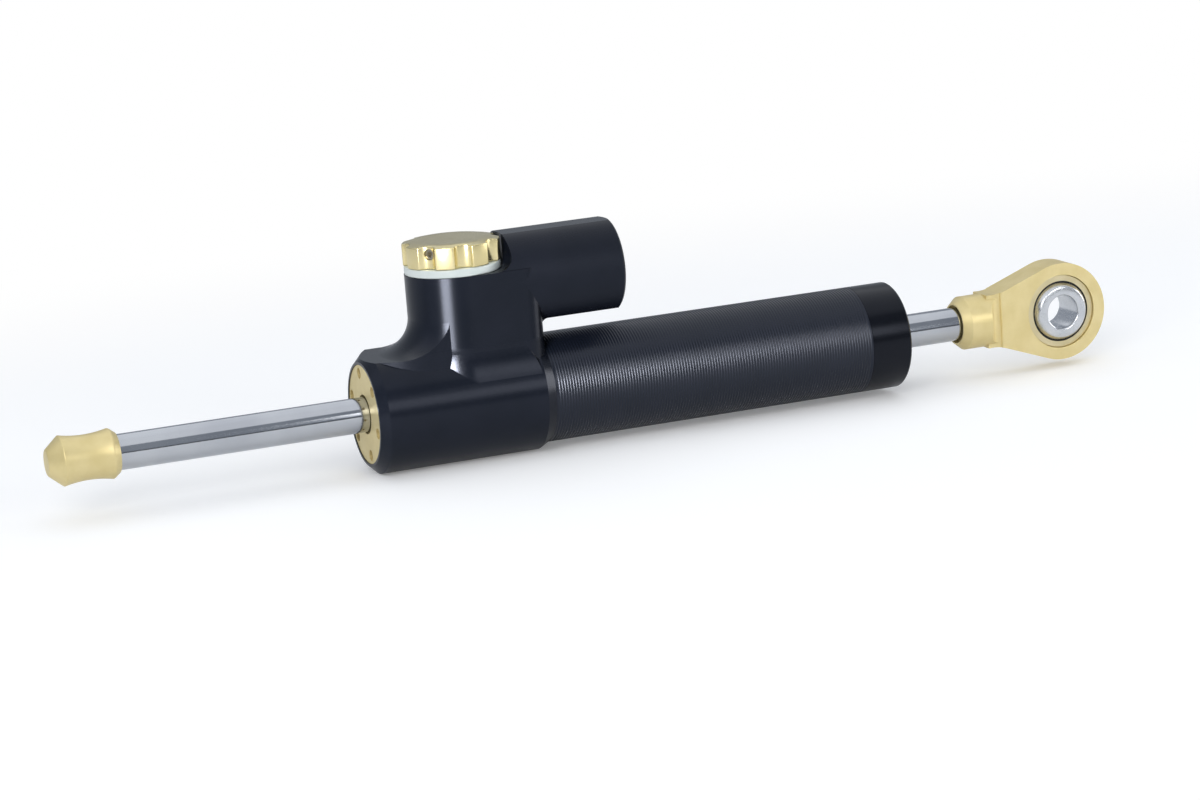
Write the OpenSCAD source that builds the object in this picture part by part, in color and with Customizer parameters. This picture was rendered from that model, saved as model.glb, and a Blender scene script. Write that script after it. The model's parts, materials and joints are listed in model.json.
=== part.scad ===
// Linear steering damper for a motorcycle, in millimetres.
// A rod runs right through an oil-filled barrel. The head at one end holds the
// adjuster valve and a gas-backed oil reservoir, which lies above the barrel.
// X runs along the rod towards the eye, Z runs up through the adjuster knob.
// The origin is on the rod's axis, at the middle of the plain barrel that the clamp grips.

/* [Barrel] */
// Outer diameter of the barrel, which the frame clamp grips
barrel_d = 25; // [24:0.5:32]
// Length of plain barrel between the head and the end collar
seat_len = 79; // [55:1:120]
// Wall of the barrel
barrel_wall = 2.2; // [1.8:0.1:3]
// Depth of the barrel's spigot inside the head
spigot_len = 12; // [8:0.5:14]
// Wall of that spigot
spigot_wall = 1.15; // [0.8:0.05:1.4]
// Length of the smooth end collar
collar_len = 10; // [6:0.5:14]
// Depth of the end plug inside the barrel
plug_depth = 10; // [9:0.5:16]
// Edge chamfer of the end collar
collar_chamfer = 0.4; // [0.2:0.1:0.8]

/* [Inner tube] */
// Gap for the oil between the inner tube and the barrel
oil_gap = 0.8; // [0.6:0.1:1.2]
// Wall of the inner tube
inner_wall = 1; // [0.7:0.1:1.2]
// Length of the locating spigots that enter the inner tube
tube_spigot = 4; // [2.5:0.5:6]

/* [Head] */
// Length of the head along the rod
head_len = 41.5; // [40:0.5:50]
// How far the head stands proud of the barrel, all round
head_step = 1.25; // [1:0.05:2]
// Length of the cone at the head's front edge
front_cone = 1.9; // [1:0.1:2.5]
// Length and height of the cone at the head's rear edge
rear_cone = [2.3, 1.2]; // [0.8:0.1:2.5]
// Depth that the flat on top of the head is cut below its round
flat_cut = 1.36; // [1:0.02:1.6]
// Radius of the blend between that flat and the tower
tower_blend = 8; // [5:0.5:9]
// Distance of the shoulder's near side from the middle plane
shoulder_side = 9.8; // [9:0.1:10.5]
// Radius of the curve of the shoulder's near side, in plan
shoulder_bow = 20; // [16:1:26]
// Where that curve ends, from the head's front face
shoulder_run = 14.4; // [12:0.2:16]

/* [Tower] */
// Radius of the tower's round front, and half its width
tower_r = 11; // [10.5:0.25:12]
// Distance of the tower's axis from the head's front face
tower_x = 23.6; // [21:0.2:26]
// Radius of the tower's upright rear corners
tower_corner = 5; // [3:0.5:6]
// Radius of the long hollow between the tower's sides and the head's round
side_blend = 20; // [12:1:24]
// Height of the tower's top above the reservoir's axis
deck_rise = 3.4; // [3:0.1:4]
// Radius of the hollow corner behind the knob
deck_fillet = 3.6; // [2:0.2:4]
// Clearance between the knob and the wall bored round it
knob_room = 0.4; // [0.3:0.1:0.8]

/* [Reservoir] */
// Outer radius of the reservoir
res_r = 11; // [10.5:0.25:12]
// Radius of the reservoir's bore
res_bore_r = 8.5; // [7:0.25:8.75]
// Gap between the barrel and the reservoir's lower flat
res_gap = 4.4; // [3:0.2:8]
// Distance of the lower flat below the reservoir's axis
res_low = 9.45; // [9.25:0.05:9.9]
// Distance of the upper flat above the reservoir's axis
res_top = 10.5; // [10:0.05:10.8]
// How far the reservoir reaches past the head's rear face
res_over = 19.5; // [16:0.5:26]
// Edge chamfer of the reservoir's end
res_chamfer = 0.5; // [0.3:0.1:1]
// Radius of the blend under the reservoir
web_blend = 2; // [1:0.1:2.5]
// Length of the floating piston
float_len = 6; // [4:0.5:7]
// Travel of the floating piston towards the tower
float_in = 5.5; // [3:0.5:6]
// Travel of the floating piston towards the plug
float_out = 3.5; // [2:0.5:4]
// Thickness of the reservoir's plug
plug_len = 3.5; // [3:0.25:5]

/* [Rod] */
// Diameter of the piston rod
rod_d = 8; // [7:0.5:10]
// Bare rod between the end collar and the eye, at rest
rod_right = 17.3; // [10:0.1:20]
// Room left outside the stops at either end of the stroke
outer_room = 0.5; // [0.4:0.1:1]
// Radius of the rod's threaded left end
left_thread_r = 3; // [2.5:0.25:3]
// Radius of the rod's threaded right end
right_thread_r = 3.5; // [3:0.25:3.5]

/* [Piston] */
// Length of the piston
piston_len = 11.8; // [10:0.2:16]
// Width of the piston's band
band_w = 4.8; // [3:0.2:6]
// Thickness of the piston's band
band_t = 0.9; // [0.7:0.1:1.2]
// Thickness of the clips that hold the piston
clip_t = 0.9; // [0.7:0.1:1.2]
// How far those clips stand out from the rod
clip_out = 1.9; // [1.5:0.1:2.2]

/* [Rod seals] */
// Length of the wiper
wiper_len = 2.9; // [2:0.1:3.5]
// Wall of the wiper
wiper_wall = 2.4; // [2:0.05:2.8]
// Length of the seal
seal_len = 3.9; // [3:0.1:4.5]
// Wall of the seal
seal_wall = 2.9; // [2.5:0.05:3.1]
// Length of the bush
bush_len = 9.1; // [6:0.1:9.5]
// Wall of the bush
bush_wall = 1.4; // [1:0.05:1.9]
// Depth of the open mouth outside the wiper
mouth_len = 1.2; // [1:0.1:3]
// Gap between that mouth and the rod
mouth_gap = 0.5; // [0.4:0.1:1.5]
// Cord diameter of the O-rings, which sit lightly squeezed
oring_cord = 1.05; // [0.9:0.05:1.2]

/* [Gland] */
// Step from the bore out to the gland's wide end
gland_step = 0.9; // [0.5:0.05:1.1]
// Length of the gland's wide end
gland_len = 9.8; // [8:0.1:12]
// Length of the gland's nose, up to the inner tube
nose_len = 7.5; // [6:0.1:9]
// Depth of the gland's face inside the head
gland_inset = 0.2; // [0:0.1:0.6]
// Distance of the spanner holes' centres from the gland's rim
spanner_rim = 1.9; // [1.7:0.1:2.5]
// Radius of a spanner hole
spanner_hole_r = 1.25; // [0.75:0.05:1.4]
// Depth of a spanner hole
spanner_depth = 3; // [2:0.25:4]
// Number of spanner holes
spanner_count = 6; // [2:1:8]
// Turn of the first spanner hole, in degrees from the top towards the near side
spanner_turn = 48; // [0:1:60]

/* [Bumper cap] */
// Length of the bumper cap on the rod's left end
cap_len = 15.7; // [14:0.1:20]
// Radius of its two rims
cap_rim_r = 5.65; // [5.4:0.05:6.5]
// Radius of its waist
cap_waist_r = 5; // [4.8:0.05:5.3]
// Radius of its blunt nose
cap_nose_r = 2.9; // [2:0.1:4]
// Length of the cone between the nose and the first rim
cap_nose_len = 3.2; // [2:0.1:4.5]
// Length of the cone between the second rim and the rod
cap_tail_len = 1.5; // [1:0.1:2]
// Lip of the cap round the rod, at its rod end
cap_lip = 0.4; // [0.25:0.05:1.1]
// Room left between the cap and the head at the end of the stroke
bumper_room = 0.7; // [0.5:0.1:1.5]

/* [Rod eye] */
// Distance of the eye's centre from the boss's face
eye_reach = 26.8; // [25:0.1:36]
// Radius of the eye's head
eye_r = 11.7; // [11:0.1:14]
// Thickness of the eye's head
eye_t = 7.8; // [7:0.1:9]
// Radius of the boss
boss_r = 6.4; // [5.8:0.1:6.8]
// Length and height of the cone at the boss's face
boss_cone = [1.8, 1.5]; // [0.5:0.1:3]
// Slope of the eye's flanks, in degrees
flank_angle = 20; // [19:1:26]
// Radius of the hollow between the boss and a flank
flank_blend = 10; // [6:0.5:14]
// Distance of the flat faces' left edge from the eye's centre
face_run = 16.2; // [15:0.1:17]
// Half thickness of the neck between the boss and the flat faces
neck_half = 3.4; // [3:0.1:3.7]
// Radius of the hollow between the boss and that neck
neck_blend = 3.5; // [3:0.1:4]
// Diameter of the bolt hole in the ball
eye_bore_d = 8; // [6:0.5:9]
// Width of the ball
ball_w = 9.6; // [9:0.1:11]
// Radius of the ball
ball_r = 7.75; // [7.25:0.05:8]
// Thickness of the ball's liner
liner_t = 0.25; // [0.2:0.05:0.4]
// Wall of the race at its thinnest
race_wall = 0.7; // [0.5:0.05:1.4]
// Width of the race
race_w = 6.8; // [6:0.1:7.5]

/* [Adjuster] */
// Radius of the knob
knob_r = 11; // [10:0.1:12]
// Height of the knob
knob_h = 5.3; // [4.5:0.1:7]
// Drop of the knob's top towards its rim
crown_drop = 0.45; // [0.2:0.05:0.8]
// Width of that slope
crown_width = 2.4; // [1:0.1:3]
// Number of lobes round the knob
lobe_count = 8; // [5:1:12]
// Radius of the hollows between the lobes
scallop_r = 2.4; // [2:0.1:4]
// Depth of the hollows between the lobes
scallop_depth = 1.5; // [0.8:0.1:2.4]
// Turn of the hollow that holds the screw, in degrees from the near side towards the left
screw_turn = 49; // [0:1:90]
// Radius of the knob's screw
screw_r = 1.2; // [1:0.1:1.5]
// Height of the screw above the knob's lower face
screw_rise = 3.3; // [2:0.1:4]
// Step from the knob's rim in to the pale index ring's rim
ring_step = 0.1; // [0:0.1:1]
// Height of the index ring
ring_h = 1.85; // [1.2:0.05:3]
// Radius of the valve cap's threaded part
valve_cap_r = 7.5; // [7:0.1:8]
// Length of that part below the deck
valve_cap_depth = 7.75; // [7:0.25:8]
// Radius of the spindle
spindle_r = 3; // [2.5:0.1:3]
// Radius of the spindle's flange
flange_r = 5; // [4.5:0.1:5.2]
// Radius of the spindle's threaded stud
stud_r = 2; // [1.5:0.1:2]
// Length of the spindle's threaded stud
stud_len = 5.5; // [4.5:0.1:6]
// Radius of the needle's guide
needle_r = 4; // [3.5:0.1:4.2]
// Half distance across the needle's two flats
needle_flat = 3; // [2.8:0.05:3.2]
// Radius of the valve seat
seat_r = 3; // [2.6:0.1:3.2]
// Radius of the oil ports
port_r = 1.2; // [0.9:0.1:1.2]
// Number of detent dimples under the knob
detent_count = 24; // [12:1:30]
// Distance of the detent ball from the knob's axis
detent_r = 5.6; // [5.2:0.1:5.8]
// Radius of the detent ball
detent_ball_r = 1; // [0.75:0.05:1]

/* [Clearances] */
// Radial gap between pieces that are fitted together
fit_gap = 0.05; // [0.02:0.01:0.08]
// Radial gap where a piece runs in another
run_gap = 0.05; // [0.03:0.01:0.08]
// Gap left between end faces at a stop
end_gap = 0.3; // [0.1:0.05:0.5]

/* [Hidden] */
$fn = 72;

// How far a cut runs past the face that it opens
over = 1;
// How far a blend dips below the faces that it joins, so that it meets them cleanly
dip = 0.02;

// Radii of the barrel and the tubes inside it
barrel_r = barrel_d / 2;
bore_r = barrel_r - barrel_wall;
spigot_r = bore_r + spigot_wall;
tube_r = bore_r - oil_gap;
chamber_r = tube_r - inner_wall;
rod_r = rod_d / 2;
rod_hole_r = rod_r + run_gap;
gland_r = bore_r + gland_step;
spanner_r = gland_r - spanner_rim;
cap_tail_r = rod_r + fit_gap + cap_lip;

// Places along the rod
head_back = -seat_len / 2;
head_front = head_back - head_len;
collar_front = seat_len / 2;
collar_end = collar_front + collar_len;
gland_face = head_front + gland_inset;
nose_start = gland_face + gland_len;
tube_start = nose_start + nose_len;
chamber_start = tube_start + tube_spigot;
tube_end = collar_front - plug_depth;
chamber_end = tube_end - tube_spigot;
socket_start = head_back - spigot_len;

// Stroke of the rod, and where the piston and the two rod ends lie at rest
travel_left = rod_right - outer_room;
travel_right = chamber_end - chamber_start - piston_len - travel_left - 2 * end_gap;
piston_start = chamber_start + end_gap + travel_left;
piston_end = piston_start + piston_len;
cap_end = head_front - travel_right - bumper_room;
cap_start = cap_end - cap_len;
boss_face = collar_end + rod_right;
eye_x = boss_face + eye_reach;

// Radii of the spheres between the ball, the liner and the race
liner_in = ball_r + run_gap;
liner_out = liner_in + liner_t;
race_in = liner_out + run_gap;
race_r = race_in + race_wall;
liner_sink = 0.2;

// Head and tower
head_r = barrel_r + head_step;
flat_z = head_r - flat_cut;
tower_axis = head_front + tower_x;
res_floor = barrel_r + res_gap;
res_z = res_floor + res_low;
deck_z = res_z + deck_rise;
wall_gap = 0.1;
res_end = head_back + res_over;

// The hollow between the tower's side and the head's round touches both: its top, its foot
// and how far out that foot lies
hollow_top = sqrt(pow(head_r + side_blend, 2) - pow(tower_r + side_blend, 2));
hollow_foot = hollow_top * head_r / (head_r + side_blend);
hollow_out = (tower_r + side_blend) * head_r / (head_r + side_blend);
// Where the hollows end in front of the rear edge, and how far out the cone there reaches
hollow_stop = 0.5;
hollow_rise = norm([tower_r, hollow_top]) - head_r + over;

// Half the width of the reservoir's lower flat, as far as the tower's rear wall is flat too
web_half = min(sqrt(pow(res_r, 2) - pow(res_low, 2)), tower_r - tower_corner) - dip;
gland_seat_r = gland_r + fit_gap;

// Grooves and pockets round the rod, which the gland and the end cap share
slack = 0.05;
mouth_r = rod_r + mouth_gap;
wiper_r = rod_hole_r + wiper_wall;
seal_r = rod_hole_r + seal_wall;
bush_r = rod_hole_r + bush_wall;
land_gap = 0.3;
land_r = rod_r + land_gap;
land_len = 1.5;

// Piston, with pockets in its ends for the clips
piston_gap = 0.2;
piston_r = chamber_r - piston_gap;
band_out = chamber_r - run_gap;
band_in = band_out - band_t;
clip_groove_depth = 0.5;
clip_groove_r = rod_r - clip_groove_depth;
clip_r = rod_r + clip_out;
clip_room = 0.3;
clip_pocket = clip_t + clip_room;

// Adjuster, from the knob down to the seat
ring_r = knob_r - ring_step;
knob_lift = 0.1;
knob_z = deck_z + ring_h + knob_lift;
knob_top = knob_z + knob_h;
cap_sink = 0.4;
cap_top = deck_z + ring_h - cap_sink;
cap_low = deck_z - valve_cap_depth;
flange_top = cap_low - end_gap;
flange_t = 1.5;
flange_gap = 0.2;
stud_top = flange_top - flange_t;
stud_low = stud_top - stud_len;
spindle_sink = 1;
spindle_top = knob_top - spindle_sink;
guide_top = stud_top - flange_gap;
seat_h = 2.7;
seat_top = bore_r + seat_h;
seat_rise = 0.1;
seat_low = bore_r + seat_rise;
seat_nose_low = chamber_r + seat_rise;
seat_wall = 0.7;
seat_nose_r = port_r + seat_wall;
seat_flare = 0.8;
needle_rise = 1.2;
needle_top = guide_top - needle_rise;
needle_gap = 0.8;
needle_low = seat_top + needle_gap;
tip_depth = 1.5;
tip_low = seat_top - tip_depth;
tip_r = 0.4;
flat_gap = 0.1;
bleed_r = 0.6;
stud_room = 0.6;

// Detent: the ball rises into dimples under the knob, pressed by its spring
dimple_depth = 0.5;
dimple_spare = 0.4;
track_gap = 0.3;
spindle_room = 0.2;
detent_z = knob_z + dimple_depth - detent_ball_r;
spring_low = detent_z - 4 * detent_ball_r;

// Reservoir, from the inner end of its bore outwards
res_bore_past = 3.5;
float_start_wall = head_back - res_bore_past;
float_room = 0.5;
float_start = float_start_wall + float_room + float_in;
float_end = float_start + float_len;
gas_room = 2;
plug_start = float_end + float_out + gas_room;
plug_end = plug_start + plug_len;
clip_groove = 1;
clip_groove_out = 0.7;
port_rise = 0.3;

// Solid turned about the X axis from points [x, radius]
module turned(profile) {
    rotate([0, 90, 0]) rotate_extrude() polygon([for (p = profile) [p[1], p[0]]]);
}

// Plain rod along X
module rod_x(x0, x1, r) {
    translate([x0, 0, 0]) rotate([0, 90, 0]) cylinder(h = x1 - x0, r = r);
}

// Tube along X
module tube_x(x0, x1, r_out, r_in) {
    difference() {
        rod_x(x0, x1, r_out);
        rod_x(x0 - over, x1 + over, r_in);
    }
}

// Plain rod along Z on the tower's axis
module post_z(z0, z1, r) {
    translate([tower_axis, 0, z0]) cylinder(h = z1 - z0, r = r);
}

// Tube along Z on the tower's axis
module sleeve_z(z0, z1, r_out, r_in) {
    difference() {
        post_z(z0, z1, r_out);
        post_z(z0 - over, z1 + over, r_in);
    }
}

// Ring of round cord about X, turned at radius r
module cord_ring_x(x, r) {
    translate([x, 0, 0]) rotate([0, 90, 0])
        rotate_extrude() translate([r, 0]) circle(d = oring_cord, $fn = 32);
}

// Head: the turned body with its flat, before anything is bored in it
module head_round() {
    difference() {
        turned([
            [head_front, 0],
            [head_front, head_r - front_cone],
            [head_front + front_cone, head_r],
            [head_back - rear_cone[0], head_r],
            [head_back, head_r - rear_cone[1]],
            [head_back, 0]]);
        translate([head_front - over, -head_r, flat_z])
            cube([tower_x + over, 2 * head_r, head_r]);
    }
}

// Outline of the shoulder in plan: bowed on the near side, straight on the far side
module shoulder_plan() {
    intersection() {
        translate([head_front + shoulder_run, shoulder_bow - shoulder_side])
            circle(r = shoulder_bow, $fn = 120);
        translate([head_front, -shoulder_side]) square([shoulder_run, shoulder_side + tower_r]);
    }
    translate([head_front + shoulder_run, -shoulder_side])
        square([tower_x - shoulder_run, shoulder_side + tower_r]);
}

// Cone that the head's front edge lies on, carried on outwards
module front_limit() {
    turned([
        [head_front, 0],
        [head_front, head_r - front_cone],
        [head_back, head_r - front_cone + head_len],
        [head_back, 0]]);
}

// Shoulder: flat plateau in front of the tower
module shoulder() {
    intersection() {
        linear_extrude(height = flat_z) shoulder_plan();
        front_limit();
    }
}

// Hollow blend that carries the plateau up into the tower's round front
module tower_skirt() {
    reach = tower_r + tower_blend - dip;
    intersection() {
        translate([tower_axis, 0, 0]) rotate_extrude($fn = 120) difference() {
            translate([tower_r - over, flat_z - over]) square([tower_blend + over - dip, tower_blend + over]);
            translate([reach, flat_z + tower_blend - dip]) circle(r = tower_blend, $fn = 120);
        }
        linear_extrude(height = deck_z) shoulder_plan();
    }
}

// Outline of the tower in plan: round in front, two rounded corners behind
module tower_plan(back) {
    translate([tower_axis, 0]) circle(r = tower_r);
    translate([tower_axis, -tower_r]) square([back - tower_corner - tower_axis, 2 * tower_r]);
    translate([back - tower_corner - over, tower_corner - tower_r])
        square([tower_corner + over, 2 * (tower_r - tower_corner)]);
    for (side = [-1, 1])
        translate([back - tower_corner, side * (tower_r - tower_corner)]) circle(r = tower_corner);
}

// Reservoir: round bar with two flats, open along its top in front of the knob's wall
module reservoir_bar() {
    intersection() {
        translate([0, 0, res_z]) turned([
            [tower_axis, 0],
            [tower_axis, res_r],
            [res_end - res_chamfer, res_r],
            [res_end, res_r - res_chamfer],
            [res_end, 0]]);
        translate([tower_axis - over, -res_r - over, res_floor])
            cube([res_end - tower_axis + 2 * over, 2 * (res_r + over), res_low + res_top]);
    }
}

// Small blend in the corner under the reservoir, behind the tower
module web_fillet() {
    corner = head_back + web_blend - dip;
    translate([0, web_half, 0]) rotate([90, 0, 0]) linear_extrude(height = 2 * web_half) difference() {
        translate([head_back - over, res_floor - web_blend])
            square([web_blend + over - dip, web_blend + over]);
        translate([corner, res_floor - web_blend + dip]) circle(r = web_blend, $fn = 48);
    }
}

// Section of the hollow between one side of the tower and the head's round
module side_hollow(side) {
    difference() {
        translate([side > 0 ? tower_r - over : -hollow_out, hollow_foot])
            square([hollow_out - tower_r + over, hollow_top - hollow_foot]);
        translate([side * (tower_r + side_blend - dip), hollow_top]) circle(r = side_blend, $fn = 120);
    }
}

// Cone in which the hollows end, in front of the head's rear edge
module rear_limit() {
    edge = head_back - rear_cone[0] - hollow_stop;
    turned([
        [head_front, 0],
        [head_front, head_r + hollow_rise],
        [edge - hollow_rise, head_r + hollow_rise],
        [edge, head_r],
        [edge, 0]]);
}

// Those hollows along the tower's sides and round its front, ending in that cone
module tower_flanks() {
    intersection() {
        union() {
            intersection() {
                translate([tower_axis, 0, 0]) rotate_extrude($fn = 120) side_hollow(1);
                translate([head_front, -2 * head_r, 0]) cube([tower_x, 4 * head_r, 2 * head_r]);
            }
            for (side = [-1, 1])
                translate([tower_axis, 0, 0]) rotate([90, 0, 90])
                    linear_extrude(height = head_back - tower_axis) side_hollow(side);
        }
        rear_limit();
    }
}

// Room for the knob and ring: a flat floor, a flat wall with a hollow corner, and a bored relief
module knob_room_cut() {
    wall = tower_axis + knob_r + wall_gap;
    side = res_r + over;
    translate([0, side, 0]) rotate([90, 0, 0]) linear_extrude(height = 2 * side) difference() {
        translate([head_front, deck_z]) square([wall - head_front, knob_h + res_r]);
        difference() {
            translate([wall - deck_fillet, deck_z - over])
                square([deck_fillet + over, deck_fillet + over]);
            translate([wall - deck_fillet, deck_z + deck_fillet]) circle(r = deck_fillet, $fn = 48);
        }
    }
    post_z(deck_z, knob_top + res_r, knob_r + knob_room);
}

// Bores of the head: gland seat, oil space, barrel socket, valve and reservoir
module head_bores() {
    rod_x(head_front - over, nose_start, gland_seat_r);
    rod_x(nose_start - over, socket_start + over, bore_r);
    rod_x(socket_start, head_back + over, spigot_r + fit_gap);
    post_z(cap_low, deck_z + over, valve_cap_r + fit_gap);
    post_z(guide_top, cap_low + over, flange_r + flange_gap);
    intersection() {
        post_z(seat_top, guide_top + over, needle_r + run_gap);
        translate([tower_axis - needle_r - over, -needle_flat - flat_gap, seat_top])
            cube([2 * (needle_r + over), 2 * (needle_flat + flat_gap), guide_top]);
    }
    post_z(bore_r - over, seat_top + over, seat_r + fit_gap);
    translate([0, 0, res_z]) {
        rod_x(float_start_wall, res_end + over, res_bore_r);
        rod_x(plug_end, plug_end + clip_groove, res_bore_r + clip_groove_out);
        translate([0, 0, port_r + port_rise - res_bore_r])
            rod_x(tower_axis, float_start_wall + over, port_r);
    }
    translate([tower_axis + needle_r - bleed_r, 0, bore_r - over])
        cylinder(h = seat_h + 2 * over, r = bleed_r, $fn = 24);
}

module head_housing() {
    color("#23262c") difference() {
        union() {
            head_round();
            shoulder();
            tower_skirt();
            linear_extrude(height = deck_z) tower_plan(head_back);
            tower_flanks();
            reservoir_bar();
            web_fillet();
        }
        knob_room_cut();
        head_bores();
    }
}

// Barrel with its spigot, which enters the head
module barrel_tube() {
    spigot_end = socket_start + 2 * slack;
    color("#23262c") turned([
        [spigot_end, bore_r],
        [spigot_end, spigot_r],
        [head_back, spigot_r],
        [head_back, barrel_r],
        [collar_front, barrel_r],
        [collar_front, bore_r]]);
}

// Inner tube, with the hole for the valve seat and the four ports at its far end
module inner_tube() {
    color("silver") difference() {
        tube_x(tube_start, tube_end, tube_r, chamber_r);
        post_z(0, bore_r, seat_nose_r + fit_gap);
        for (turn = [45:90:315])
            translate([chamber_end - 2 * port_r, 0, 0]) rotate([turn, 0, 0])
                cylinder(h = bore_r, r = port_r, $fn = 32);
    }
}

// Space cut round the rod, from an outer face at 0 to an inner end at depth, along +X
module rod_space(depth) {
    wiper_at = mouth_len;
    seal_at = wiper_at + wiper_len + 2 * slack + land_len;
    rod_x(-over, wiper_at + over, mouth_r);
    rod_x(wiper_at, wiper_at + wiper_len + 2 * slack, wiper_r + fit_gap);
    rod_x(wiper_at, depth + over, land_r);
    rod_x(seal_at, seal_at + seal_len + 2 * slack, seal_r + fit_gap);
    rod_x(depth - bush_len - end_gap - slack, depth + over, bush_r + fit_gap);
}

// Wiper, seal and bush that fill that space
module rod_wiper() {
    tube_x(mouth_len + slack, mouth_len + slack + wiper_len, wiper_r, rod_hole_r);
}
module rod_seal() {
    start = mouth_len + wiper_len + 3 * slack + land_len;
    tube_x(start, start + seal_len, seal_r, rod_hole_r);
}
module rod_bush(depth) {
    tube_x(depth - bush_len - end_gap, depth - end_gap, bush_r, rod_hole_r);
}

// The gland's pieces run inwards from its face, the end cap's from the collar's
module at_gland() {
    translate([gland_face, 0, 0]) children();
}
module at_end() {
    translate([collar_end, 0, 0]) mirror([1, 0, 0]) children();
}
gland_depth = chamber_start - gland_face;
end_depth = collar_end - chamber_end;

// O-ring groove round a nose that fills the bore
groove_half = oring_cord * 0.7;
module bore_groove(x) {
    tube_x(x - groove_half, x + groove_half, bore_r + over, bore_r - fit_gap - oring_cord);
}
gland_oring_x = nose_start + nose_len / 2;
end_oring_x = collar_front - plug_depth / 2;

module gland_cap() {
    color("#d8c78b") difference() {
        turned([
            [gland_face, 0],
            [gland_face, gland_r],
            [nose_start, gland_r],
            [nose_start, bore_r - fit_gap],
            [tube_start, bore_r - fit_gap],
            [tube_start, chamber_r - fit_gap],
            [chamber_start, chamber_r - fit_gap],
            [chamber_start, 0]]);
        at_gland() rod_space(gland_depth);
        bore_groove(gland_oring_x);
        for (k = [0:spanner_count - 1])
            rotate([spanner_turn + k * 360 / spanner_count, 0, 0]) translate([0, 0, spanner_r])
                rod_x(gland_face - over, gland_face + spanner_depth, spanner_hole_r);
    }
}

module end_cap() {
    color("#23262c") difference() {
        turned([
            [chamber_end, 0],
            [chamber_end, chamber_r - fit_gap],
            [tube_end, chamber_r - fit_gap],
            [tube_end, bore_r - fit_gap],
            [collar_front, bore_r - fit_gap],
            [collar_front, barrel_r],
            [collar_end - collar_chamfer, barrel_r],
            [collar_end, barrel_r - collar_chamfer],
            [collar_end, 0]]);
        at_end() rod_space(end_depth);
        bore_groove(end_oring_x);
    }
}

module gland_bush() {
    color("#b08d57") at_gland() rod_bush(gland_depth);
}
module gland_seal() {
    color("#1b1b1b") at_gland() rod_seal();
}
module gland_wiper() {
    color("#2a2a2a") at_gland() rod_wiper();
}
module gland_oring() {
    color("#161616") cord_ring_x(gland_oring_x, bore_r - fit_gap - oring_cord / 2);
}
module end_bush() {
    color("#b08d57") at_end() rod_bush(end_depth);
}
module end_seal() {
    color("#1b1b1b") at_end() rod_seal();
}
module end_wiper() {
    color("#2a2a2a") at_end() rod_wiper();
}
module end_oring() {
    color("#161616") cord_ring_x(end_oring_x, bore_r - fit_gap - oring_cord / 2);
}

// Threaded lengths at the rod's two ends, and the counterbores that take its shoulders
cap_counter = 1;
cap_thread = 9.6;
boss_counter = 1.2;
thread_past = 0.7;
boss_thread = eye_reach - boss_counter - face_run - neck_blend + thread_past;
counter_gap = 0.55;

module piston_rod() {
    color("#c9ccd1") difference() {
        turned([
            [cap_end - cap_counter - cap_thread, 0],
            [cap_end - cap_counter - cap_thread, left_thread_r],
            [cap_end - cap_counter, left_thread_r],
            [cap_end - cap_counter, rod_r],
            [boss_face + boss_counter, rod_r],
            [boss_face + boss_counter, right_thread_r],
            [boss_face + boss_counter + boss_thread, right_thread_r],
            [boss_face + boss_counter + boss_thread, 0]]);
        for (x = [piston_start + slack, piston_end - clip_t - 3 * slack])
            tube_x(x, x + clip_t + 2 * slack, rod_r + over, clip_groove_r);
    }
}

module piston() {
    color("#9aa0a6") difference() {
        rod_x(piston_start, piston_end, piston_r);
        rod_x(piston_start - over, piston_end + over, rod_hole_r);
        rod_x(piston_start - over, piston_start + clip_pocket, clip_r + clip_room);
        rod_x(piston_end - clip_pocket, piston_end + over, clip_r + clip_room);
        translate([(piston_start + piston_end) / 2, 0, 0])
            tube_x(-band_w / 2 - 2 * slack, band_w / 2 + 2 * slack, piston_r + over, band_in - run_gap);
    }
}

module piston_band() {
    color("#3b3f3a") translate([(piston_start + piston_end) / 2, 0, 0])
        tube_x(-band_w / 2, band_w / 2, band_out, band_in);
}

// Open clips in the rod's two grooves
module piston_clips() {
    clip_gap = 4;
    for (x = [piston_start + 2 * slack, piston_end - 2 * slack - clip_t])
        color("#7c8086") difference() {
            tube_x(x, x + clip_t, clip_r, clip_groove_r + fit_gap);
            translate([x - over, -clip_gap / 2, 0]) cube([clip_t + 2 * over, clip_gap, clip_r + over]);
        }
}

module bumper_cap() {
    rim_a = cap_start + cap_nose_len;
    rim_b = cap_end - cap_tail_len;
    half = (rim_b - rim_a) / 2;
    sag = cap_rim_r - cap_waist_r;
    waist_bow = (half * half + sag * sag) / (2 * sag);
    color("#d8c78b") rotate([0, 90, 0]) rotate_extrude() difference() {
        polygon([
            [0, cap_start],
            [cap_nose_r, cap_start],
            [cap_rim_r, rim_a],
            [cap_rim_r, rim_b],
            [cap_tail_r, cap_end],
            [rod_r + fit_gap, cap_end],
            [rod_r + fit_gap, cap_end - cap_counter],
            [left_thread_r + fit_gap, cap_end - cap_counter],
            [left_thread_r + fit_gap, cap_end - cap_counter - cap_thread - slack],
            [0, cap_end - cap_counter - cap_thread - slack]]);
        translate([cap_waist_r + waist_bow, (rim_a + rim_b) / 2]) circle(r = waist_bow, $fn = 180);
    }
}

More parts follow.
